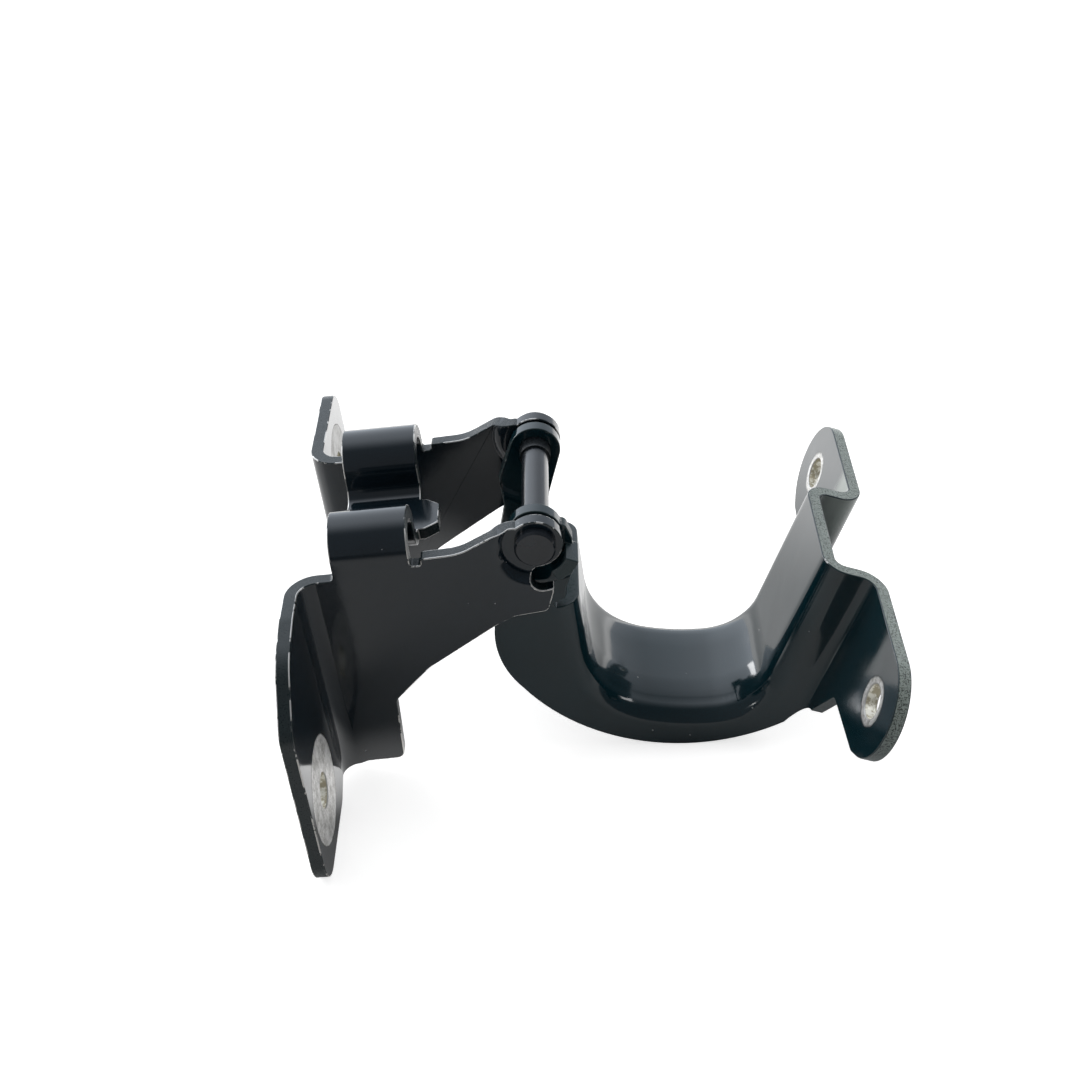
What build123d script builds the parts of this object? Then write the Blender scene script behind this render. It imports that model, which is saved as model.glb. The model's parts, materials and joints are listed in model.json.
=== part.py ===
from build123d import *
import os
from math import acos, asin, atan2, cos, degrees, hypot, radians, sin, sqrt

# Top flap hinge of a convertible car, standing on a floor as it is photographed.
# A bracket bolts to the body, an arm carries the flap, and one riveted pin joins them.
# Each stamping is drawn about the pin axis: x runs away from the pin, z up, y across the width.
# The near side is -Y. The finished hinge is moved so that its base centre is the origin.

# Sheet and pin
sheet = 4.0
pin_diameter = 8.0
pin_head_diameter = 11.7
pin_head_height = 2.5
pin_tail_diameter = 11.5
pin_tail_height = 2.2
pin_edge = 0.6
washer_diameter = 14.0
washer_thickness = 1.2
running_fit = 0.05

# Bracket: overall sizes
cheek_half_width = 31.5
bracket_reach = 71.65
bracket_drop = 78.5
flange_bend = 5.0
shoulder_near = -4.5
shoulder_far = -3.0
foot_level = -74.3
foot_front = -48.0

# Bracket: the bridge folded like a letter M between the cheeks
bridge_back = -57.7
bridge_front = -35.4
fold_level = 0.5
fold_radius = 6.0
valley_radius = 4.0
valley_level = -2.0
tongue_length = 5.9
tongue_tip_half_width = 4.6
fold_relief_width = 3.0
fold_relief_depth = 2.2

# Bracket: ears for the pin
bracket_ear_radius = 7.8
bracket_ear_set_in = 2.6
bracket_pad_radius = 9.0
ear_gap = 0.3
joggle_radius = 2.5

# Bracket: bolt holes in the two flanges, by their distance from the flange's bend and their level
body_bolt_hole = 10.5
near_hole_out = 23.2
near_hole_level = -57.7
far_hole_out = 18.5
far_hole_level = -22.5

# Arm: overall sizes, in its own directions, along and square to the flap's mounting plane
arm_ear_set_out = 1.5
arm_ear_radius = 7.7
arm_pad_radius = 16.0
channel_bend = 3.0
throat_reach = 84.1
throat_corner_level = -30.9
throat_corner_radius = 19.7
throat_corner_turn = 67.2
throat_bowl_radius = 62.5
throat_bowl_turn = 16.4
throat_neck_radius = 26.3
throat_neck_turn = 71.5
throat_neck_run = 18.0
arm_end_level = 11.3
leg_end_flat = 0.2
rest_opening = 23.4

# Arm: the belly, a round outer edge of the legs
belly_start = (14.0, -58.0)
belly_low = (45.3, -68.7)
belly_end_level = -48.0
back_top = (-1.5, -35.4)
back_middle = (4.4, -49.5)

# Arm: mounting flanges
arm_flange_bend = 4.0
arm_bolt_hole = 10.0
arm_hole_out = 30.8
arm_flange_round = 16.0
arm_flange_low_level = -21.3
arm_corner_low_level = -37.8

# Stop lug on the near ear and the slot in the near cheek that it runs in
lug_start = -43.0
lug_end = -3.0
lug_clearance = 1.3
lug_tip_inset = 0.5
closing_travel = 30.0
lug_end_clearance = 0.4

# Flanged bushes pressed into the arm's ears
bush_wall = 0.6
bush_flange_diameter = 14.0
bush_flange_thickness = 1.1
bush_run = 4.5

# Everything below follows from the sizes above
pin_hole = pin_diameter + 2 * running_fit
bend_line = bracket_reach - sheet - flange_bend
flange_start = cheek_half_width + flange_bend
near_hole_across = flange_start + near_hole_out
far_hole_across = flange_start + far_hole_out
bracket_ear_face = cheek_half_width - bracket_ear_set_in
arm_ear_face = bracket_ear_face - sheet - ear_gap - bush_flange_thickness
leg_half_width = arm_ear_face - arm_ear_set_out
bush_outside = pin_hole + 2 * bush_wall
arm_bend_line = throat_reach + channel_bend + 2 * sheet + leg_end_flat
arm_face = arm_bend_line + arm_flange_bend
arm_flange_start = leg_half_width + arm_flange_bend
arm_hole_across = arm_flange_start + arm_hole_out
arm_hole_level = arm_end_level - arm_flange_round
lug_inner = bracket_ear_radius + lug_clearance
lug_outer = lug_inner + sheet
slot_outer = lug_outer + lug_clearance
slot_round = (slot_outer - bracket_ear_radius) / 2
slot_middle = bracket_ear_radius + slot_round


def outline(*corners):
    """Flat face inside corners given as two coordinates and a corner radius."""
    points = [(across, up) for across, up, _ in corners]
    radii = [radius for _, _, radius in corners]
    return make_face(FilletPolyline(*points, radius=radii, close=True))


def ring(center, inner, outer, start, turn):
    """Sector of a flat ring that begins at the start angle."""
    rim = CenterArc(center, outer, start, turn)
    bore = CenterArc(center, inner, start, turn)
    return make_face([rim, bore, Line(rim @ 0, bore @ 0), Line(rim @ 1, bore @ 1)])


def side_on(face, low, high):
    """Solid with a side view, filling the width from y = low to y = high."""
    return extrude(Plane.XZ.offset(-high) * face, amount=high - low)


def end_on(face, low, high):
    """Solid with a view along the length, filling x = low to x = high."""
    return extrude(Plane.YZ.offset(low) * face, amount=high - low)


def both_sides(shape):
    """A shape and its mirror image across the middle plane."""
    return shape + mirror(shape, Plane.XZ)


def joggled_plate(face, ear_face, plate_face, pad_radius):
    """Far-side plate with a side view, whose flat pad about the pin lies in another plane."""
    step = plate_face - ear_face
    toward = 1 if step > 0 else -1
    run = sqrt(4 * abs(step) * joggle_radius - step**2)
    slope = degrees(2 * atan2(abs(step), run))
    pad_middle = ear_face - sheet / 2
    plate_middle = plate_face - sheet / 2
    rim_radius = pad_radius + run + sheet
    first = (pad_radius, pad_middle + toward * joggle_radius)
    second = (pad_radius + run, plate_middle - toward * joggle_radius)

    def skin(offset):
        """Line of the sheet's skin at an offset from its middle."""
        pad_bend = CenterArc(first, joggle_radius - toward * offset, -toward * 90, toward * slope)
        rise_bend = CenterArc(second, joggle_radius + toward * offset, toward * (90 + slope), -toward * slope)
        pad = Line((0, pad_middle + offset), pad_bend @ 0)
        plate = Line(rise_bend @ 1, (rim_radius, plate_middle + offset))
        return [pad, pad_bend, rise_bend, plate]

    low = skin(-sheet / 2)
    high = skin(sheet / 2)
    ends = [Line(low[0] @ 0, high[0] @ 0), Line(low[-1] @ 1, high[-1] @ 1)]
    disc = revolve(make_face(low + high + ends), Axis.Y)
    pad = disc & side_on(face & Circle(rim_radius), 0, 2 * plate_face)
    return pad + side_on(face - Circle(rim_radius), plate_face - sheet, plate_face)


def cylinder_across(diameter, low, high):
    """Round bar on the pin axis from y = low to y = high."""
    return side_on(Circle(diameter / 2), low, high)


def slot_start_angle(arm_turn):
    """Angle of the middle of the slot's round end, which the lug just clears when closed."""
    reach_back = lug_outer**2 + slot_middle**2 - slot_round**2
    half_width = degrees(acos(reach_back / (2 * lug_outer * slot_middle)))
    spare = degrees(lug_end_clearance / lug_outer)
    return lug_start + arm_turn - closing_travel - spare + half_width


def lug_slot(angle):
    """Curved slot about the pin, round at its closed end and open to the front."""
    middle = (slot_middle * cos(radians(angle)), slot_middle * sin(radians(angle)))
    opening = ring((0, 0), bracket_ear_radius, slot_outer, angle, 100)
    return opening + Pos(*middle) * Circle(slot_round)


def cheek_outline(shoulder):
    """Side view of a bracket cheek, from the flange bend to the ear."""
    body = outline(
        (bridge_back, fold_level, 0),
        (bridge_back, shoulder, 1.5),
        (-bend_line, shoulder, 0),
        (-bend_line, foot_level - 1.2, 0),
        (-bend_line + 2.6, foot_level - 0.3, 2),
        (foot_front - 0.6, foot_level, 2.5),
        (foot_front + 0.6, foot_level + 23.3, 3),
        (foot_front + 12.4, foot_level + 35.0, 12),
        (-14.5, -25.9, 6),
        (-8.5, -22.9, 4),
        (1.4, -21.9, 2),
        (3.6, -15.6, 1),
        (5.0, -5.0, 0),
        (2.0, 4.0, 0),
        (-5.5, 6.3, 3),
        (-11.6, 5.7, 6),
        (-21.5, 0.9, 16),
        (bridge_front + fold_relief_width, fold_level, 0.8),
        (bridge_front + fold_relief_width, fold_level - fold_relief_depth, 0.8),
        (bridge_front, fold_level - fold_relief_depth, 0.8),
        (bridge_front, fold_level, 0),
    )
    return body + Circle(bracket_ear_radius)


def bracket_flange_outline(across, *corners):
    """Outline of a bracket flange seen from the front: corners by their distance from its bend."""
    return outline(*[(across * (flange_start + out), level, radius) for out, level, radius in corners])


def near_flange():
    """Near mounting flange, which hangs low behind the cheek."""
    face = bracket_flange_outline(
        -1,
        (0.0, foot_level - 1.2, 0),
        (7.5, -bracket_drop, 6),
        (43.1, -bracket_drop, 9),
        (39.1, -22.6, 7),
        (24.0, -8.2, 20),
        (9.5, -5.0, 12),
        (0.0, shoulder_near, 0),
    )
    hole = Pos(-near_hole_across, near_hole_level) * Circle(body_bolt_hole / 2)
    return end_on(face - hole, -bracket_reach, -bracket_reach + sheet)


def far_flange():
    """Far mounting flange, with its bolt hole high up."""
    face = bracket_flange_outline(
        1,
        (0.0, foot_level - 1.2, 0),
        (7.5, -bracket_drop, 6),
        (20.5, -bracket_drop, 6),
        (38.5, -45.0, 12),
        (38.1, shoulder_far + 0.7, 9),
        (0.0, shoulder_far, 0),
    )
    hole = Pos(far_hole_across, far_hole_level) * Circle(body_bolt_hole / 2)
    return end_on(face - hole, -bracket_reach, -bracket_reach + sheet)


def flange_corner(side, shoulder):
    """Bend between a cheek and its flange."""
    center = (-bend_line, side * flange_start)
    start = 180 if side > 0 else 90
    face = ring(center, flange_bend, flange_bend + sheet, start, 90)
    low = foot_level - 1.2
    return extrude(Plane.XY.offset(low) * face, amount=shoulder - low)


def bridge():
    """Sheet between the cheeks, folded over each cheek and dipping to a flat valley."""
    top_across = cheek_half_width - fold_radius - sheet
    wall = top_across - fold_radius
    valley_across = wall - sheet - valley_radius
    fold = ring((top_across, fold_level), fold_radius, fold_radius + sheet, 0, 180)
    drop = Pos(wall - sheet / 2, (fold_level + valley_level) / 2) * Rectangle(sheet, fold_level - valley_level)
    valley = ring((valley_across, valley_level), valley_radius, valley_radius + sheet, -90, 90)
    floor_level = valley_level - valley_radius - sheet / 2
    floor = Pos(0, floor_level) * Rectangle(2 * valley_across, sheet)
    half = end_on(fold + drop + valley, bridge_back, bridge_front)
    tongue_root = bridge_front + 2.0
    tongue = Polyline(
        (bridge_back, -valley_across),
        (tongue_root, -valley_across),
        (bridge_front + tongue_length, -tongue_tip_half_width),
        (bridge_front + tongue_length, tongue_tip_half_width),
        (tongue_root, valley_across),
        (bridge_back, valley_across),
        close=True,
    )
    plate = extrude(Plane.XY.offset(floor_level - sheet / 2) * make_face(tongue), amount=sheet)
    return both_sides(half) + plate


def bracket_cheek(shoulder):
    """Far-side cheek of the bracket with its ear set in."""
    return joggled_plate(cheek_outline(shoulder), bracket_ear_face, cheek_half_width, bracket_pad_radius)


def body_bracket(arm_turn):
    """Body-side bracket: two cheeks with joggled ears, a folded bridge and two flanges."""
    slot = side_on(lug_slot(slot_start_angle(arm_turn)), -2 * cheek_half_width, 0)
    near_cheek = mirror(bracket_cheek(shoulder_near), Plane.XZ) - slot
    bracket = bridge() + bracket_cheek(shoulder_far) + near_cheek
    bracket += flange_corner(1, shoulder_far) + far_flange()
    bracket += flange_corner(-1, shoulder_near) + near_flange()
    return bracket - cylinder_across(pin_hole, -cheek_half_width, cheek_half_width)


def hinge_pin():
    """Pin with a flat head on the near side and a formed tail over a washer on the far side."""
    tail_start = bracket_ear_face + washer_thickness
    shank = cylinder_across(pin_diameter, -bracket_ear_face, tail_start)
    head = cylinder_across(pin_head_diameter, -bracket_ear_face - pin_head_height, -bracket_ear_face)
    head = chamfer(head.edges().sort_by(Axis.Y)[0], pin_edge)
    tail = cylinder_across(pin_tail_diameter, tail_start, tail_start + pin_tail_height)
    tail = fillet(tail.edges().sort_by(Axis.Y)[-1], 2 * pin_edge)
    return shank + head + tail


def tail_washer():
    """Washer between the far ear and the formed tail."""
    disc = cylinder_across(washer_diameter, bracket_ear_face, bracket_ear_face + washer_thickness)
    return disc - cylinder_across(pin_hole, 0, 2 * cheek_half_width)


def throat_line(depth):
    """Line that lies the given depth outside the hollow face of the arm's web."""
    wall_start = (throat_reach + depth, arm_end_level)
    wall = Line(wall_start, (throat_reach + depth, throat_corner_level))
    corner = JernArc(wall @ 1, wall % 1, throat_corner_radius + depth, -throat_corner_turn)
    bowl = JernArc(corner @ 1, corner % 1, throat_bowl_radius + depth, -throat_bowl_turn)
    neck = JernArc(bowl @ 1, bowl % 1, throat_neck_radius + depth, -throat_neck_turn)
    rise = Line(neck @ 1, neck @ 1 + throat_neck_run * (neck % 1))
    return [wall, corner, bowl, neck, rise]


def channel_section():
    """Half section of the web and its bend into a leg: depth outside the hollow face, then width."""
    bend_outer = channel_bend + sheet
    bend_start = leg_half_width - bend_outer
    web = Pos(sheet / 2, bend_start / 2) * Rectangle(sheet, bend_start)
    return web + ring((bend_outer, bend_start), channel_bend, bend_outer, 90, 90)


def channel():
    """Web of the arm, bent into both legs along the hollow of the throat."""
    half = channel_section()
    section = half + mirror(half, Plane.XZ)
    solid = None
    for line in throat_line(0):
        start = line @ 0
        tangent = line % 0
        along = Vector(tangent.X, 0, tangent.Y)
        outward = Vector(-tangent.Y, 0, tangent.X)
        plane = Plane((start.X, 0, start.Y), x_dir=outward, z_dir=along)
        face = plane * section
        if line.geom_type == GeomType.LINE:
            piece = extrude(face, amount=line.length)
        else:
            turn = degrees(line.length / line.radius)
            center = line.arc_center
            piece = revolve(face, Axis((center.X, 0, center.Y), (0, 1, 0)), revolution_arc=turn)
        solid = piece if solid is None else solid + piece
    return solid


def leg_outline():
    """Side view of an arm leg, from the ear round the belly to the mounting end."""
    end_face = arm_face + sheet
    top = arm_end_level + throat_reach
    belly_end = (arm_bend_line, belly_end_level)
    blank = [
        Polyline((-arm_ear_radius, top), (-arm_ear_radius, 0), (-7.6, -13.4), (-3.2, -22.0), back_top),
        ThreePointArc(back_top, back_middle, belly_start),
        ThreePointArc(belly_start, belly_low, belly_end),
        Polyline(belly_end, (arm_face, arm_corner_low_level), (end_face, arm_corner_low_level)),
        Polyline((end_face, arm_corner_low_level), (end_face, arm_end_level)),
        Polyline((end_face, arm_end_level), (throat_reach, arm_end_level), (throat_reach, top)),
        Line((throat_reach, top), (-arm_ear_radius, top)),
    ]
    throat = throat_line(channel_bend + sheet)
    neck = Polyline(throat[-1] @ 1, (9.6, -20.0), (8.7, -13.0), (arm_ear_radius, 0), (-arm_ear_radius, 0))
    above = Polyline(neck @ 1, (-2 * arm_ear_radius, 0), (-2 * arm_ear_radius, 2 * top))
    across = Polyline(above @ 1, (throat[0] @ 0).X * Vector(1, 0) + Vector(0, 2 * top), throat[0] @ 0)
    hollow = make_face([*throat, neck, above, across])
    return make_face(blank) - hollow + Circle(arm_ear_radius)


def lug_root():
    """Widening of the near ear that carries the stop lug."""
    return outline(
        (0.0, 0.0, 0),
        (6.7, 6.0, 2),
        (10.6, 1.4, 4),
        (14.6, -10.0, 4),
        (14.7, -17.0, 2),
        (15.6, -20.9, 0),
        (10.8, -26.3, 0),
        (2.0, -20.0, 0),
    )


def stop_lug():
    """Curved lug standing out from the near ear into the slot of the cheek."""
    face = ring((0, 0), lug_inner, lug_outer, lug_start, lug_end - lug_start)
    return side_on(face, -cheek_half_width + lug_tip_inset, -arm_ear_face + sheet / 2)


def arm_leg(side):
    """Leg on one side, with its ear pad set outward and its end bent into the flange."""
    profile = leg_outline()
    beyond = Pos(arm_bend_line + throat_reach, 0) * Rectangle(2 * throat_reach, 4 * throat_reach)
    flat = profile - beyond
    if side < 0:
        flat += lug_root()
    leg = joggled_plate(flat, arm_ear_face, leg_half_width, arm_pad_radius)
    if side < 0:
        leg = mirror(leg, Plane.XZ)
    center = (arm_bend_line, side * arm_flange_start)
    start = -90 if side > 0 else 0
    corner = ring(center, arm_flange_bend, arm_flange_bend + sheet, start, 90)
    corner = extrude(Plane.XY.offset(-throat_reach) * corner, amount=2 * throat_reach)
    return leg + (corner & side_on(profile & beyond, -2 * leg_half_width, 2 * leg_half_width))


def arm_flange(side):
    """Mounting flange turned outward from a leg, with one bolt hole."""
    rim = arm_hole_across + arm_flange_round
    tangent = arm_flange_round * (1 - 0.001)
    low_run = arm_flange_round * sin(radians(32.5)) / cos(radians(32.5))
    face = outline(
        (side * arm_flange_start, arm_end_level, 0),
        (side * rim, arm_end_level, tangent),
        (side * rim, arm_hole_level - low_run, tangent),
        (side * (arm_hole_across + 3.2), arm_flange_low_level, 2.5),
        (side * (arm_flange_start + 9.3), arm_flange_low_level - 2.0, 3),
        (side * arm_flange_start, arm_corner_low_level, 0),
    )
    hole = Pos(side * arm_hole_across, arm_hole_level) * Circle(arm_bolt_hole / 2)
    return end_on(face - hole, arm_face, arm_face + sheet)


def lid_arm():
    """Lid-side arm: a goose-neck channel with joggled ears and outward flanges."""
    arm = channel() + arm_leg(1) + arm_leg(-1) + arm_flange(1) + arm_flange(-1) + stop_lug()
    return arm - cylinder_across(bush_outside, -2 * leg_half_width, 2 * leg_half_width)


def far_bush():
    """Flanged bush in the far ear of the arm, its flange against the outside of the ear."""
    inner_end = arm_ear_face - sheet - bush_run
    sleeve = cylinder_across(bush_outside, inner_end, arm_ear_face)
    flange = cylinder_across(bush_flange_diameter, arm_ear_face, arm_ear_face + bush_flange_thickness)
    return sleeve + flange - cylinder_across(pin_hole, 0, 2 * leg_half_width)


def circle_through(first, second, third):
    """Center and radius of the circle through three points."""
    arc = ThreePointArc(first, second, third)
    return arc.arc_center, arc.radius


def standing_turns():
    """Turns of the bracket and the arm about the pin when both stand on a floor."""
    belly_end = (arm_bend_line, belly_end_level)
    center, radius = circle_through(belly_start, belly_low, belly_end)
    swing = radians(-rest_opening)
    belly_x = center.X * cos(swing) - center.Y * sin(swing) + bracket_reach
    belly_z = center.X * sin(swing) + center.Y * cos(swing) + bracket_drop
    floor = atan2(belly_z, belly_x) - asin(radius / hypot(belly_x, belly_z))
    bracket_turn = -degrees(floor)
    return bracket_turn, bracket_turn - rest_opening


def build():
    """All the pieces by name, standing with the base centre at the origin."""
    bracket_turn, arm_turn = standing_turns()
    bush = far_bush()
    on_bracket = {
        "body_bracket": body_bracket(-rest_opening),
        "hinge_pin": hinge_pin(),
        "tail_washer": tail_washer(),
    }
    on_arm = {
        "lid_arm": lid_arm(),
        "near_bush": mirror(bush, Plane.XZ),
        "far_bush": bush,
    }
    placed = {name: Rot(0, -bracket_turn, 0) * piece for name, piece in on_bracket.items()}
    placed |= {name: Rot(0, -arm_turn, 0) * piece for name, piece in on_arm.items()}
    bounds = Compound(children=[Compound(piece.solids()) for piece in placed.values()]).bounding_box()
    middle = bounds.center()
    return {name: Pos(-middle.X, -middle.Y, -bounds.min.Z) * piece for name, piece in placed.items()}


os.makedirs("parts", exist_ok=True)
for name, piece in build().items():
    export_step(piece, f"parts/{name}.step")
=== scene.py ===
import json
import bmesh
import bpy
from math import atan2, cos, hypot, radians, sin
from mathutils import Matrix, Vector
from mathutils.bvhtree import BVHTree


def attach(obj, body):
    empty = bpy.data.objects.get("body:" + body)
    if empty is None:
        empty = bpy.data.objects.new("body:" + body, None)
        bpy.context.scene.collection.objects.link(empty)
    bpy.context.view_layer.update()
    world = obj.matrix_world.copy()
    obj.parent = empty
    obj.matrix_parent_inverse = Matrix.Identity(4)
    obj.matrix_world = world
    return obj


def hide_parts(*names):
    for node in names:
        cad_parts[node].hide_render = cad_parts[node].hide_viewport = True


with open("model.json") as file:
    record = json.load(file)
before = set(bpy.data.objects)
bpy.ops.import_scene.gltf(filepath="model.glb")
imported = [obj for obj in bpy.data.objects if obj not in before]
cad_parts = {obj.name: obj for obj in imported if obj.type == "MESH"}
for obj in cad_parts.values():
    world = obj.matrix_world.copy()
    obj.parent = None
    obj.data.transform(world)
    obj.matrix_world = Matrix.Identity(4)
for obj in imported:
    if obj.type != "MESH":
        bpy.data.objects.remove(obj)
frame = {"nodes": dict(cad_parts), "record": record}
bpy.context.view_layer.update()


# Body bracket: one pressing of 4 mm steel sheet with two cheeks, a folded bridge and two
# flanges, pierced and sheared in a die, dipped in a glossy blue-black coat and baked.
# Both flanges are clamped bare round their bolts, and sheared edges carry a greyer coat.
sheet = 0.004
thickest_sheet = 1.12 * sheet
edge_round = 0.00035
edge_segments = 3
sharp_angle = 55
flat_angle = 0.3
merge_reach = 1e-6
below_surface = 1e-5
skin_slot, sheared_slot, rubbed_slot = 0, 1, 2
flat_face_weight = 100
noise_low, noise_high = 0.3, 0.7
hole_reach = 0.0057
hole_softness = 0.0001
steel_color = (0.56, 0.55, 0.53, 1)
smudge_color = (0.42, 0.41, 0.385, 1)
bright_steel_color = (0.95, 0.945, 0.93, 1)
stained_wall_color = (0.46, 0.42, 0.31, 1)
bright_wall_color = (0.95, 0.94, 0.86, 1)
rim_color = (0.045, 0.045, 0.042, 1)
chipped_color = (0.45, 0.47, 0.45, 1)
dust_color = (0.40, 0.41, 0.41, 1)
bracket_color = (0.0048, 0.0115, 0.0175, 1)
bracket_edge_color = (0.009, 0.017, 0.019, 1)
bracket_hole_radius = 0.0055
bracket_bolts = ("near_body_bolt", "far_body_bolt")
# The far spot's light of 0.45 is painted shade: a darker copy of the same bare steel.
bracket_bare_spots = (
    dict(bolt="near_body_bolt", radius=0.0162, rag=0.0006, softness=0.0001, rim=0.85, light=1.0),
    dict(bolt="far_body_bolt", radius=0.0145, rag=0.0006, softness=0.0001, rim=0.85, light=0.45),
)
bracket_grit_from, bracket_grit_to = 0.0, 0.1
bracket_edge_wear = 0.30
bracket_rub = 0.78
mounts = {mount["name"]: mount for mount in frame["record"]["mounts"]}
all_bolts = [mount for name, mount in mounts.items() if name.endswith("bolt")]


def add_node(tree, kind, values=None, **settings):
    """Shader or group node with its settings and the values or links of its inputs."""
    made = tree.nodes.new(kind)
    for name, value in settings.items():
        setattr(made, name, value)
    for name, value in (values or {}).items():
        if isinstance(value, bpy.types.NodeSocket):
            tree.links.new(value, made.inputs[name])
        else:
            made.inputs[name].default_value = value
    return made


def math_node(tree, operation, *values):
    """Result of a Math node."""
    return add_node(tree, "ShaderNodeMath", dict(enumerate(values)), operation=operation).outputs[0]


def vector_node(tree, operation, *values):
    """Vector Math node on one or two vectors."""
    return add_node(tree, "ShaderNodeVectorMath", dict(enumerate(values)), operation=operation)


def span(tree, value, low, high, to_low=0.0, to_high=1.0):
    """Value carried from one range to another with soft ends."""
    values = {"Value": value, "From Min": low, "From Max": high, "To Min": to_low, "To Max": to_high}
    return add_node(tree, "ShaderNodeMapRange", values, interpolation_type="SMOOTHSTEP").outputs[0]


def blend_value(tree, share, first, second):
    """Value between two others."""
    return add_node(tree, "ShaderNodeMix", {0: share, 2: first, 3: second}).outputs[0]


def blend_color(tree, share, first, second):
    """Color between two others."""
    made = add_node(tree, "ShaderNodeMix", data_type="RGBA")
    for socket, value in ((0, share), (6, first), (7, second)):
        if isinstance(value, bpy.types.NodeSocket):
            tree.links.new(value, made.inputs[socket])
        else:
            made.inputs[socket].default_value = value
    return made.outputs[2]


def shade(color, level):
    """Lighter or darker version of a color."""
    return tuple(level * part for part in color[:3]) + (1,)


def noise(tree, place, size, detail=2.0, roughness=0.5):
    """Noise whose lumps have the given size in metres."""
    values = {"Vector": place, "Scale": 1 / size, "Detail": detail, "Roughness": roughness}
    return add_node(tree, "ShaderNodeTexNoise", values).outputs["Fac"]


def bump(tree, height, strength, depth, under=None):
    """Normal of a surface whose relief has the given depth in metres."""
    values = {"Height": height, "Strength": strength, "Distance": depth}
    if under is not None:
        values["Normal"] = under
    return add_node(tree, "ShaderNodeBump", values).outputs[0]


def group(name, inputs, outputs):
    """Empty shader node group with its sockets."""
    made = bpy.data.node_groups.new(name, "ShaderNodeTree")
    kinds = {"value": "NodeSocketFloat", "place": "NodeSocketVector"}
    for socket, kind in inputs.items():
        made.interface.new_socket(socket, in_out="INPUT", socket_type=kinds[kind])
    for socket, kind in outputs.items():
        made.interface.new_socket(socket, in_out="OUTPUT", socket_type=kinds[kind])
    return made, made.nodes.new("NodeGroupInput").outputs, made.nodes.new("NodeGroupOutput")


def round_spot_group():
    """Mask of a round spot about a line through the object, and of its ragged rim."""
    rag_size = 0.0022
    rim_core, rim_edge = 0.00015, 0.0005
    made, given, put = group(
        "round spot",
        {
            "Place": "place",
            "Center": "place",
            "Axis": "place",
            "Radius": "value",
            "Rag": "value",
            "Soft": "value",
        },
        {"Inside": "value", "Rim": "value"},
    )
    away = vector_node(made, "SUBTRACT", given["Place"], given["Center"]).outputs[0]
    depth = vector_node(made, "DOT_PRODUCT", away, given["Axis"]).outputs["Value"]
    scaling = {0: given["Axis"], "Scale": depth}
    along = add_node(made, "ShaderNodeVectorMath", scaling, operation="SCALE").outputs[0]
    across = vector_node(made, "SUBTRACT", away, along).outputs[0]
    distance = vector_node(made, "LENGTH", across).outputs["Value"]
    uneven = math_node(made, "SUBTRACT", noise(made, given["Place"], rag_size, detail=4), 0.5)
    distance = math_node(made, "ADD", distance, math_node(made, "MULTIPLY", uneven, given["Rag"]))
    beyond = math_node(made, "SUBTRACT", distance, given["Radius"])
    within = math_node(made, "MULTIPLY", given["Soft"], -1.0)
    made.links.new(span(made, beyond, within, given["Soft"], 1.0, 0.0), put.inputs["Inside"])
    from_rim = math_node(made, "ABSOLUTE", beyond)
    made.links.new(span(made, from_rim, rim_core, rim_edge, 1.0, 0.0), put.inputs["Rim"])
    return made


def worn_spot_group():
    """Mask of scattered worn spots of a given size and amount."""
    least_wear = 0.86
    wear_reach = 0.5
    worn_edge = 0.05
    inputs = {"Place": "place", "Size": "value", "Amount": "value"}
    made, given, put = group("worn spots", inputs, {"Worn": "value"})
    scale = math_node(made, "DIVIDE", 1.0, given["Size"])
    values = {"Vector": given["Place"], "Scale": scale, "Detail": 6.0, "Roughness": 0.62}
    lumps = add_node(made, "ShaderNodeTexNoise", values).outputs["Fac"]
    more_wear = math_node(made, "MULTIPLY", given["Amount"], wear_reach)
    level = math_node(made, "SUBTRACT", least_wear, more_wear)
    over = math_node(made, "SUBTRACT", lumps, level)
    made.links.new(span(made, over, 0.0, worn_edge), put.inputs["Worn"])
    return made


def speck_group():
    """Mask of fine specks of dust and chips."""
    cells_per_metre = 260.0
    empty_share = 0.91
    speck_core, speck_edge = 0.05, 0.09
    made, given, put = group("dust specks", {"Place": "place"}, {"Specks": "value"})
    values = {"Vector": given["Place"], "Scale": cells_per_metre}
    grains = add_node(made, "ShaderNodeTexVoronoi", values).outputs
    draw = add_node(made, "ShaderNodeSeparateColor", {0: grains["Color"]}).outputs[0]
    chosen = math_node(made, "GREATER_THAN", draw, empty_share)
    near = span(made, grains["Distance"], speck_core, speck_edge, 1.0, 0.0)
    made.links.new(math_node(made, "MULTIPLY", chosen, near), put.inputs["Specks"])
    return made


def dip_coat_group():
    """Slow waves and fine orange peel of a dipped and baked coat, as a normal, and its haze."""
    wave_size, wave_depth = 0.012, 0.001
    peel_size, peel_depth = 0.0013, 0.0001
    haze_size = 0.02
    haze_from, haze_to = 0.35, 0.7
    made, given, put = group(
        "dip coat waves",
        {"Place": "place", "Peel": "value", "Waves": "value"},
        {"Normal": "place", "Haze": "value"},
    )
    swell = noise(made, given["Place"], wave_size, detail=1)
    waves = bump(made, swell, given["Waves"], wave_depth)
    pimples = noise(made, given["Place"], peel_size, detail=1)
    peel = bump(made, pimples, given["Peel"], peel_depth, waves)
    clouds = noise(made, given["Place"], haze_size, detail=3)
    made.links.new(peel, put.inputs["Normal"])
    made.links.new(span(made, clouds, haze_from, haze_to), put.inputs["Haze"])
    return made


round_spot = round_spot_group()
worn_spots = worn_spot_group()
dust_specks = speck_group()
coat_waves = dip_coat_group()


def placed_group(tree, made, **values):
    """Outputs of a node group placed in a material with its own values."""
    return add_node(tree, "ShaderNodeGroup", values, node_tree=made).outputs


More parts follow.
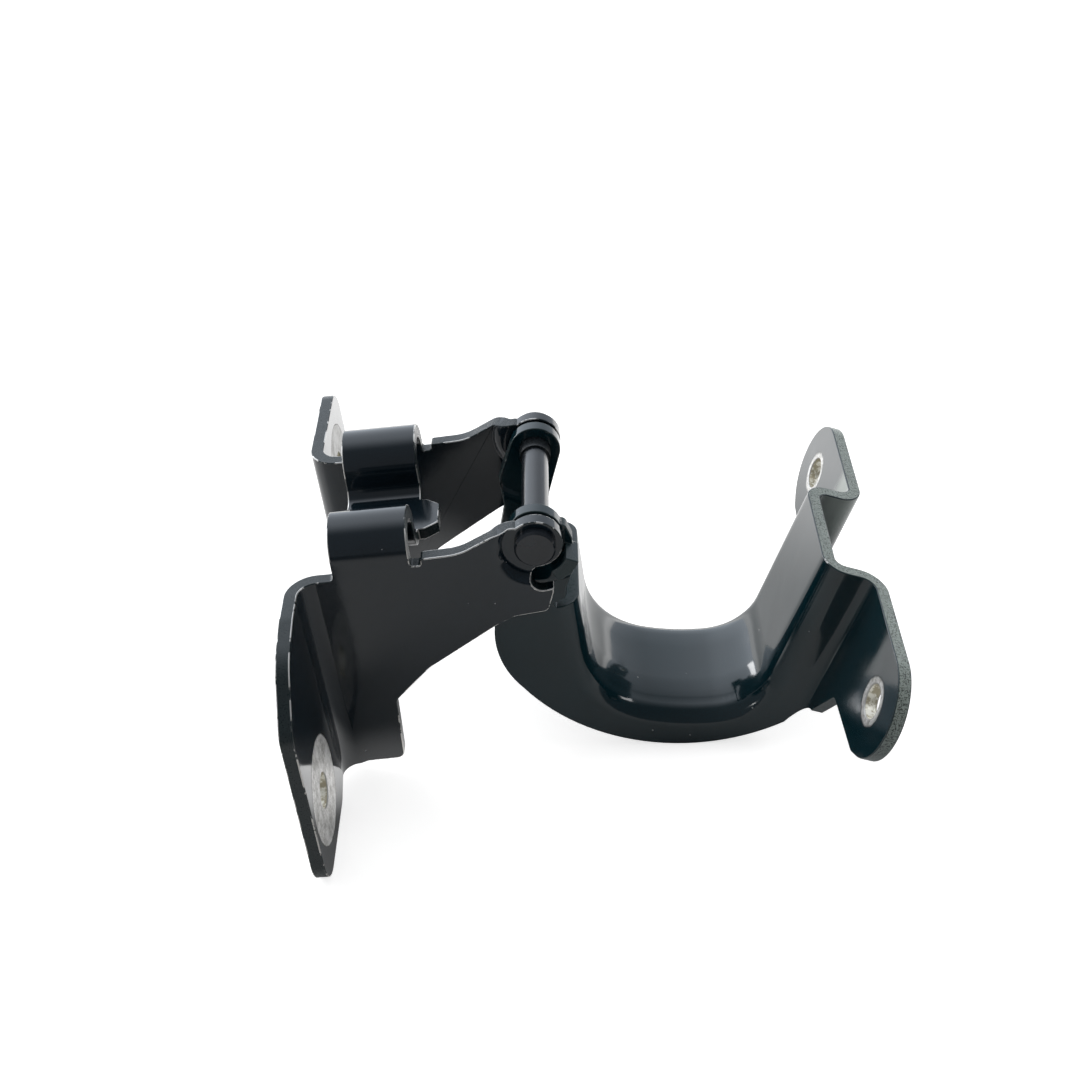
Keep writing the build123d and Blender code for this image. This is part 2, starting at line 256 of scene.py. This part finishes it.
def bolt_spot(tree, place, bolt, radius, rag=0.0, softness=hole_softness):
    """Masks of a round spot about the axis of a bolt."""
    center, axis = mounts[bolt]["pos_m"], mounts[bolt]["axis"]
    return placed_group(
        tree, round_spot, Place=place, Center=center, Axis=axis, Radius=radius, Rag=rag, Soft=softness
    )


def new_material(name):
    """Material with a Principled surface, and the object's own coordinates."""
    made = bpy.data.materials.new(name)
    made.use_nodes = True
    tree = made.node_tree
    surface = tree.nodes["Principled BSDF"]
    place = add_node(tree, "ShaderNodeTexCoord").outputs["Object"]
    return made, tree, surface, place


def mottled_steel(tree, place):
    """Mask of the bright places, and roughness, of bare sheet steel that was clamped."""
    cloud_size, cloud_share = 0.004, 0.7
    grit_size, grit_share = 0.0007, 0.5
    bright_from, bright_to = 0.44, 0.74
    smoothest, roughest = 0.38, 0.62
    clouds = noise(tree, place, cloud_size, detail=5, roughness=0.7)
    grit = noise(tree, place, grit_size, detail=3, roughness=0.7)
    clouded = math_node(tree, "MULTIPLY", clouds, cloud_share)
    mixed = math_node(tree, "ADD", clouded, math_node(tree, "MULTIPLY", grit, grit_share))
    bright = span(tree, mixed, bright_from, bright_to)
    return bright, span(tree, grit, noise_low, noise_high, smoothest, roughest)


def coat_material(name, color, bare_spots, bolts, hole_radius, painted_highlight_spot=None):
    """Glossy dip coat, with bare steel in round spots about the bolts and in their holes, and a painted
    highlight in an optional spot.
    """
    peel_strength, wave_strength = 0.05, 0.07
    hazy_shade = 0.82
    speck_cover = 0.6
    stain_size = 0.0022
    stain_from, stain_to = 0.42, 0.6
    glossiest, haziest = 0.09, 0.15
    bare_metal = 0.6
    made, tree, surface, place = new_material(name)
    coat = placed_group(tree, coat_waves, Place=place, Peel=peel_strength, Waves=wave_strength)
    specks = placed_group(tree, dust_specks, Place=place)["Specks"]
    tone = blend_color(tree, coat["Haze"], color, shade(color, hazy_shade))
    tone = blend_color(tree, math_node(tree, "MULTIPLY", specks, speck_cover), tone, dust_color)
    # Painted highlight: in the spot, the coat turns paler towards the upper right.
    if painted_highlight_spot is not None:
        spot = placed_group(
            tree,
            round_spot,
            Place=place,
            Center=painted_highlight_spot["center"],
            Axis=painted_highlight_spot["axis"],
            Radius=painted_highlight_spot["radius"],
            Soft=painted_highlight_spot["softness"],
        )
        rise = vector_node(tree, "DOT_PRODUCT", place, (1.0, 0.0, 1.0)).outputs["Value"]
        upper = span(tree, rise, painted_highlight_spot["rise_from"], painted_highlight_spot["rise_to"])
        upper_right_share = math_node(tree, "MULTIPLY", spot["Inside"], upper)
        tone = blend_color(tree, upper_right_share, tone, painted_highlight_spot["color"])
    bright, steel_roughness = mottled_steel(tree, place)
    steel = tone
    bare = 0.0
    rims = 0.0
    for size in bare_spots:
        spot = bolt_spot(tree, place, size["bolt"], size["radius"], size["rag"], size["softness"])
        # Painted shade: the spot's light level darkens its bare steel.
        smudged = shade(smudge_color, size["light"])
        lit = shade(bright_steel_color, size["light"])
        steel = blend_color(tree, spot["Inside"], steel, blend_color(tree, bright, smudged, lit))
        bare = math_node(tree, "MAXIMUM", bare, spot["Inside"])
        rims = math_node(tree, "MAXIMUM", rims, math_node(tree, "MULTIPLY", spot["Rim"], size["rim"]))
    walls = 0.0
    for bolt in bolts:
        walls = math_node(tree, "MAXIMUM", walls, bolt_spot(tree, place, bolt, hole_radius)["Inside"])
    stains = noise(tree, place, stain_size, detail=3, roughness=0.7)
    clean = span(tree, stains, stain_from, stain_to)
    wall_tone = blend_color(tree, clean, stained_wall_color, bright_wall_color)
    steel = blend_color(tree, walls, steel, wall_tone)
    tone = blend_color(tree, bare, tone, steel)
    tone = blend_color(tree, rims, tone, rim_color)
    coat_roughness = span(tree, coat["Haze"], 0.0, 1.0, glossiest, haziest)
    roughness = blend_value(tree, bare, coat_roughness, steel_roughness)
    tree.links.new(tone, surface.inputs["Base Color"])
    tree.links.new(roughness, surface.inputs["Roughness"])
    tree.links.new(math_node(tree, "MULTIPLY", bare, bare_metal), surface.inputs["Metallic"])
    tree.links.new(coat["Normal"], surface.inputs["Normal"])
    surface.inputs["IOR"].default_value = 1.5
    return made


def sheared_material(name, color, upper_right_color, upper_right_from, upper_right_to, amount):
    """Coat on a sheared edge of the sheet, which turns gritty up and to the right, and paler there as a
    painted highlight.
    """
    wear_size = 0.004
    grit_size, grit_depth = 0.0005, 0.0003
    grit_from, grit_to = 0.40, 0.56
    grit_dark, grit_light = 0.3, 1.25
    smoothest, roughest = 0.22, 0.5
    least_grit, more_grit = 0.2, 0.5
    made, tree, surface, place = new_material(name)
    worn = placed_group(tree, worn_spots, Place=place, Size=wear_size, Amount=amount)["Worn"]
    grain = noise(tree, place, grit_size, detail=3, roughness=0.75)
    rise = vector_node(tree, "DOT_PRODUCT", place, (1.0, 0.0, 1.0)).outputs["Value"]
    # Painted highlight: the edge turns towards the paler colour up and to the right; the grit is the
    # edge's own.
    upper_right_share = span(tree, rise, upper_right_from, upper_right_to)
    grit = span(tree, grain, grit_from, grit_to)
    gritty = blend_color(tree, grit, shade(upper_right_color, grit_dark), shade(upper_right_color, grit_light))
    tone = blend_color(tree, upper_right_share, color, gritty)
    tone = blend_color(tree, worn, tone, chipped_color)
    relief = math_node(tree, "MULTIPLY_ADD", upper_right_share, more_grit, least_grit)
    uneven = span(tree, grain, noise_low, noise_high, smoothest, roughest)
    tree.links.new(tone, surface.inputs["Base Color"])
    tree.links.new(uneven, surface.inputs["Roughness"])
    tree.links.new(bump(tree, grain, relief, grit_depth), surface.inputs["Normal"])
    surface.inputs["Specular IOR Level"].default_value = 0.38
    return made


def rubbed_material(name, color, amount, bolts, hole_radius):
    """Narrow rounded edge, rubbed through to steel in places and round the bolt holes."""
    rub_size = 0.008
    hole_lip = 0.001
    lip_wear = 0.8
    glossiest, roughest = 0.16, 0.4
    worn_metal = 0.8
    made, tree, surface, place = new_material(name)
    worn = placed_group(tree, worn_spots, Place=place, Size=rub_size, Amount=amount)["Worn"]
    for bolt in bolts:
        lip = bolt_spot(tree, place, bolt, hole_radius + hole_lip)["Inside"]
        worn = math_node(tree, "MAXIMUM", worn, math_node(tree, "MULTIPLY", lip, lip_wear))
    tree.links.new(blend_color(tree, worn, color, steel_color), surface.inputs["Base Color"])
    tree.links.new(span(tree, worn, 0.0, 1.0, glossiest, roughest), surface.inputs["Roughness"])
    tree.links.new(math_node(tree, "MULTIPLY", worn, worn_metal), surface.inputs["Metallic"])
    return made


def in_bolt_hole(point):
    """Whether a point lies on the wall of a bolt hole."""
    for bolt in all_bolts:
        if (point - Vector(bolt["pos_m"])).cross(Vector(bolt["axis"])).length < hole_reach:
            return True
    return False


def mark_sheared_edges(form):
    """Tells the sheet's two faces from its sheared edges by how far the metal reaches behind."""
    tree = BVHTree.FromBMesh(form)
    for face in form.faces:
        middle = face.calc_center_median()
        depth = tree.ray_cast(middle - face.normal * below_surface, -face.normal)[3]
        through_sheet = depth is not None and depth < thickest_sheet
        on_skin = through_sheet or in_bolt_hole(middle)
        face.material_index = skin_slot if on_skin else sheared_slot
        face.smooth = True


def rounded_mesh(mesh, name):
    """Copy of a pressing's mesh with its sharp edges rounded and its flat faces kept flat."""
    draft = bpy.data.objects.new(name + "_draft", mesh)
    bpy.context.scene.collection.objects.link(draft)
    bevel = draft.modifiers.new("rounding", "BEVEL")
    bevel.limit_method = "ANGLE"
    bevel.angle_limit = radians(sharp_angle)
    bevel.width = edge_round
    bevel.segments = edge_segments
    bevel.material = rubbed_slot
    bevel.use_clamp_overlap = False
    bevel.loop_slide = False
    bevel.miter_outer = "MITER_ARC"
    normals = draft.modifiers.new("flat faces", "WEIGHTED_NORMAL")
    normals.weight = flat_face_weight
    normals.keep_sharp = False
    evaluated = draft.evaluated_get(bpy.context.evaluated_depsgraph_get())
    finished = bpy.data.meshes.new_from_object(evaluated)
    finished.name = name
    bpy.data.objects.remove(draft)
    return finished


def pressed_piece(node, name, body, materials, reshape=None):
    """Copy of a CAD pressing in its skin, sheared-edge and rubbed-edge materials."""
    mesh = frame["nodes"][node].data.copy()
    mesh.name = name
    form = bmesh.new()
    form.from_mesh(mesh)
    bmesh.ops.remove_doubles(form, verts=form.verts, dist=merge_reach)
    form.normal_update()
    mark_sheared_edges(form)
    bmesh.ops.dissolve_limit(
        form,
        angle_limit=radians(flat_angle),
        use_dissolve_boundaries=False,
        verts=form.verts,
        edges=form.edges,
        delimit={"MATERIAL"},
    )
    if reshape is not None:
        reshape(form)
    mesh.materials.clear()
    for material in materials:
        mesh.materials.append(material)
    form.to_mesh(mesh)
    form.free()
    if "custom_normal" in mesh.attributes:
        mesh.attributes.remove(mesh.attributes["custom_normal"])
    for edge in mesh.edges:
        edge.use_edge_sharp = False
    piece = bpy.data.objects.new(name, rounded_mesh(mesh, name))
    bpy.context.scene.collection.objects.link(piece)
    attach(piece, body)
    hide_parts(node)
    return piece


bracket_materials = (
    coat_material(
        "bracket dip coat", bracket_color, bracket_bare_spots, bracket_bolts, bracket_hole_radius
    ),
    sheared_material(
        "bracket sheared edge",
        bracket_edge_color,
        bracket_edge_color,
        bracket_grit_from,
        bracket_grit_to,
        bracket_edge_wear,
    ),
    rubbed_material(
        "bracket rubbed edge", bracket_edge_color, bracket_rub, bracket_bolts, bracket_hole_radius
    ),
)
pressed_piece("body_bracket", "bracket_pressing", "bracket", bracket_materials)


# Arm: a second pressing of the same sheet, a goose-neck channel with two ears, a stop lug
# and two outward flanges. Its coat is greener, with a paler painted highlight in the far flange's bend
# and on its sheared edges up and to the right. The deep pressing leaves the web crowned towards its two
# bends.
arm_color = (0.0030, 0.0175, 0.0240, 1)
arm_edge_color = (0.012, 0.026, 0.029, 1)
arm_painted_highlight_color = (0.23, 0.27, 0.25, 1)
arm_hole_radius = 0.0052
arm_bolts = ("near_lid_bolt", "far_lid_bolt")
# Their light of 0.8 is painted shade: a darker copy of the same bare steel.
arm_bare_spots = (
    dict(bolt="near_lid_bolt", radius=0.0072, rag=0.0008, softness=0.0005, rim=0.3, light=0.8),
    dict(bolt="far_lid_bolt", radius=0.0070, rag=0.0008, softness=0.0008, rim=0.0, light=0.8),
)
# Painted highlight: a paler coat in the upper part of the far flange's bend.
arm_painted_highlight_spot = dict(
    center=(0.0788, 0.028, 0.0643),
    axis=(0.320, 0.0, 0.947),
    radius=0.009,
    softness=0.003,
    rise_from=0.112,
    rise_to=0.142,
    color=arm_painted_highlight_color,
)
# Painted highlight on the arm's sheared edges, from this rise up and to the right.
arm_upper_right_from, arm_upper_right_to = 0.105, 0.145
arm_edge_wear = 0.28
arm_rub = 0.45
middle_plane = 0.001981
crown_start = 0.007
crown_end = 0.016
crown_reach = 0.0221
crown_radius = 0.022
crown_cuts = 7
crown_step = 0.0012
far_crown_share = 0.3
crown_rise = 45
crown_stop = -168
crown_fall = 38
bend_depth = 0.0071
behind_web = 0.0003
arc_overlap = 0.05
# The throat in side view: each arc's center in x and z, its radius, and its angles in degrees.
throat_arcs = (
    dict(center=(0.035975, 0.034235), radius=0.0197, start=-18.68, end=-85.88),
    dict(center=(0.032899, 0.076925), radius=0.0625, start=-85.88, end=-102.28),
    dict(center=(0.025201, 0.041553), radius=0.0263, start=-102.28, end=-173.78),
)


def out_of_throat(x, z):
    """Direction out of the throat in side view, and the share of the crown at that place."""
    for arc in throat_arcs:
        center_x, center_z = arc["center"]
        turn = atan2(z - center_z, x - center_x)
        depth = hypot(x - center_x, z - center_z) - arc["radius"]
        first, last = radians(arc["end"] - arc_overlap), radians(arc["start"] + arc_overlap)
        if first <= turn <= last and -behind_web < depth < bend_depth:
            rise = (radians(throat_arcs[0]["start"]) - turn) / radians(crown_rise)
            fall = (turn - radians(crown_stop)) / radians(crown_fall)
            return turn, max(0.0, min(1.0, rise, fall))
    return 0.0, 0.0


def crown_web(form):
    """Rounds the web of the channel towards its two bends, as a deep pressing leaves it."""
    for side in (-1, 1):
        for cut in range(crown_cuts):
            bmesh.ops.bisect_plane(
                form,
                geom=form.verts[:] + form.edges[:] + form.faces[:],
                plane_co=(0.0, middle_plane + side * (crown_start + crown_step * cut), 0.0),
                plane_no=(0.0, 1.0, 0.0),
            )
    for vertex in form.verts:
        across = abs(vertex.co.y - middle_plane)
        if not crown_start < across < crown_reach:
            continue
        drop = (min(across, crown_end) - crown_start) ** 2 / (2 * crown_radius)
        if vertex.co.y > middle_plane:
            drop *= far_crown_share
        turn, share = out_of_throat(vertex.co.x, vertex.co.z)
        if share > 0.0:
            vertex.co.x += share * drop * cos(turn)
            vertex.co.z += share * drop * sin(turn)


arm_materials = (
    coat_material(
        "arm dip coat", arm_color, arm_bare_spots, arm_bolts, arm_hole_radius, arm_painted_highlight_spot
    ),
    sheared_material(
        "arm sheared edge", arm_edge_color, arm_painted_highlight_color, arm_upper_right_from, arm_upper_right_to, arm_edge_wear
    ),
    rubbed_material("arm rubbed edge", arm_edge_color, arm_rub, arm_bolts, arm_hole_radius),
)
pressed_piece("lid_arm", "arm_pressing", "arm", arm_materials, crown_web)


# Hinge pin, washer and bushes: a cold-headed pin, its head and formed tail dipped with the
# bracket, the washer under its tail, and the flanged linings of the arm's two ears.
pin_color = (0.012, 0.016, 0.021, 1)
washer_color = (0.02, 0.025, 0.028, 1)
lining_color = (0.012, 0.015, 0.018, 1)
pin_roughness = 0.16
lining_roughness = 0.25
ring_stretch = (1, 4, 1)


def turned_material(name, color, roughness):
    """Coated steel that was turned or drawn, with fine rings about the pin axis."""
    ring_size, ring_depth, ring_strength = 0.0006, 0.0001, 0.12
    cloud_size, cloud_shade = 0.006, 0.75
    smoother, rougher = 0.05, 0.08
    made, tree, surface, place = new_material(name)
    stretched = add_node(tree, "ShaderNodeMapping", {"Vector": place, "Scale": ring_stretch}).outputs[0]
    rings = noise(tree, stretched, ring_size, detail=3, roughness=0.6)
    clouds = span(tree, noise(tree, place, cloud_size), noise_low, noise_high)
    tone = blend_color(tree, clouds, color, shade(color, cloud_shade))
    lowest, highest = roughness - smoother, roughness + rougher
    uneven = span(tree, rings, noise_low, noise_high, lowest, highest)
    tree.links.new(tone, surface.inputs["Base Color"])
    tree.links.new(uneven, surface.inputs["Roughness"])
    tree.links.new(bump(tree, rings, ring_strength, ring_depth), surface.inputs["Normal"])
    surface.inputs["Metallic"].default_value = 0.0
    return made


for node, material in (
    ("hinge_pin", turned_material("pin steel", pin_color, pin_roughness)),
    ("tail_washer", turned_material("washer steel", washer_color, lining_roughness)),
    ("near_bush", turned_material("near bush lining", lining_color, lining_roughness)),
    ("far_bush", turned_material("far bush lining", lining_color, lining_roughness)),
):
    frame["nodes"][node].material_slots[0].material = material


# Table: a white studio table and sweep, which keeps the soft shadow under the hinge and is
# white to the camera. Only in the gloss of the coat it has painted light, a glow under and behind
# the hinge and a pool of glow at its left end, and painted shade that darkens it in front.
table_size = 6.0
table_color_level = 0.8
table_own_light = 0.7
pool_center = (-0.062, -0.026, 0.0)
pool_core, pool_edge, pool_glow = 0.010, 0.028, 1.05
under_from, under_to, under_glow = -0.01, 0.03, 0.3
behind_from, behind_to, behind_glow = 0.08, 0.2, 1.1
front_from, front_to, front_painted_shade_level = -0.5, -0.2, 0.15


def table_material(name):
    """White matte surface with light of its own for the camera, and painted light and shade for the
    hinge's gloss.
    """
    made, tree, surface, place = new_material(name)
    along = add_node(tree, "ShaderNodeSeparateXYZ", {0: place}).outputs["Y"]
    # Painted light: a glow that only the coat's gloss shows, under and behind the hinge and in a pool.
    under = span(tree, along, under_from, under_to, 0.0, under_glow)
    behind = span(tree, along, behind_from, behind_to, 0.0, behind_glow)
    from_pool = vector_node(tree, "DISTANCE", place, pool_center).outputs["Value"]
    pool = span(tree, from_pool, pool_core, pool_edge, pool_glow, 0.0)
    glow = math_node(tree, "ADD", math_node(tree, "ADD", under, behind), pool)
    path = add_node(tree, "ShaderNodeLightPath").outputs
    for_camera = math_node(tree, "MULTIPLY", path["Is Camera Ray"], table_own_light)
    for_gloss = math_node(tree, "MULTIPLY", path["Is Glossy Ray"], glow)
    # Painted shade: in the coat's gloss the table's colour darkens towards the front.
    front = span(tree, along, front_from, front_to, front_painted_shade_level, 1.0)
    painted_front_shade = blend_value(tree, path["Is Glossy Ray"], 1.0, front)
    tree.links.new(math_node(tree, "MULTIPLY", painted_front_shade, table_color_level), surface.inputs["Base Color"])
    tree.links.new(math_node(tree, "ADD", for_camera, for_gloss), surface.inputs["Emission Strength"])
    surface.inputs["Emission Color"].default_value = (1, 1, 1, 1)
    surface.inputs["Roughness"].default_value = 0.9
    surface.inputs["Specular IOR Level"].default_value = 0.0
    return made


table_mesh = bpy.data.meshes.new("table")
corners = [(x * table_size, y * table_size, 0) for x, y in ((-1, -1), (1, -1), (1, 1), (-1, 1))]
table_mesh.from_pydata(corners, [], [(0, 1, 2, 3)])
table_mesh.materials.append(table_material("table white"))
table = bpy.data.objects.new("table", table_mesh)
bpy.context.scene.collection.objects.link(table)


# Studio lamps: a low soft box at the back left, a small one at the front left, and a third
# high on the right, all turned to the middle of the hinge.
lamp_target = (0.0, 0.0, 0.04)


def soft_box(name, place, size, power):
    """Rectangular lamp that faces the hinge, with its size in metres and its power in watts."""
    lamp = bpy.data.lights.new(name, "AREA")
    lamp.shape = "RECTANGLE"
    lamp.size, lamp.size_y = size
    lamp.energy = power
    holder = bpy.data.objects.new(name, lamp)
    holder.location = place
    facing = Vector(lamp_target) - Vector(place)
    holder.rotation_euler = facing.to_track_quat("-Z", "Y").to_euler()
    bpy.context.scene.collection.objects.link(holder)


soft_box("back left lamp", place=(-0.90, 0.74, 0.16), size=(0.36, 0.20), power=2.0)
soft_box("front left lamp", place=(-0.70, -0.95, 0.20), size=(0.05, 0.10), power=0.25)
soft_box("right lamp", place=(0.95, -0.10, 0.80), size=(0.30, 0.24), power=1.4)


# Room: brighter behind the hinge and to its left than in front and to its right, and a
# little cool in the gloss of the coat. The camera sees it plain white.
front_light, back_light = 0.25, 1.75
left_light, right_light = 1.15, 0.55
turn_from, turn_to = -0.35, 0.45
camera_light = 1.0
white = (1, 1, 1, 1)
cool_white = (0.93, 1.0, 1.1, 1)
room = bpy.data.worlds.new("room")
room.use_nodes = True
bpy.context.scene.world = room
tree = room.node_tree
sky = tree.nodes["Background"]
path = add_node(tree, "ShaderNodeLightPath").outputs
direction = add_node(tree, "ShaderNodeTexCoord").outputs["Generated"]
toward = add_node(tree, "ShaderNodeSeparateXYZ", {0: direction}).outputs
from_front = span(tree, toward["Y"], turn_from, turn_to, front_light, back_light)
from_left = span(tree, toward["X"], turn_from, turn_to, left_light, right_light)
light = math_node(tree, "MULTIPLY", from_front, from_left)
strength = blend_value(tree, path["Is Camera Ray"], light, camera_light)
tree.links.new(strength, sky.inputs["Strength"])
tint = blend_color(tree, path["Is Glossy Ray"], white, cool_white)
tree.links.new(tint, sky.inputs["Color"])


# Camera: it stands in front of the near cheek and looks down on the hinge.
lens_length = 53.176
film_width = 36.0
camera_place = (-0.00672, -0.384839, 0.349289)
camera_tilt, camera_lean, camera_turn = 53.6263, 1.686, -0.126
camera = bpy.data.objects.new("camera", bpy.data.cameras.new("camera"))
camera.data.lens = lens_length
camera.data.sensor_width = film_width
camera.data.clip_start = 0.01
camera.data.clip_end = 50.0
camera.location = camera_place
camera.rotation_euler = (radians(camera_tilt), radians(camera_lean), radians(camera_turn))
bpy.context.scene.collection.objects.link(camera)
bpy.context.scene.camera = camera
bpy.context.scene.view_settings.view_transform = "Standard"

bpy.context.view_layer.update()
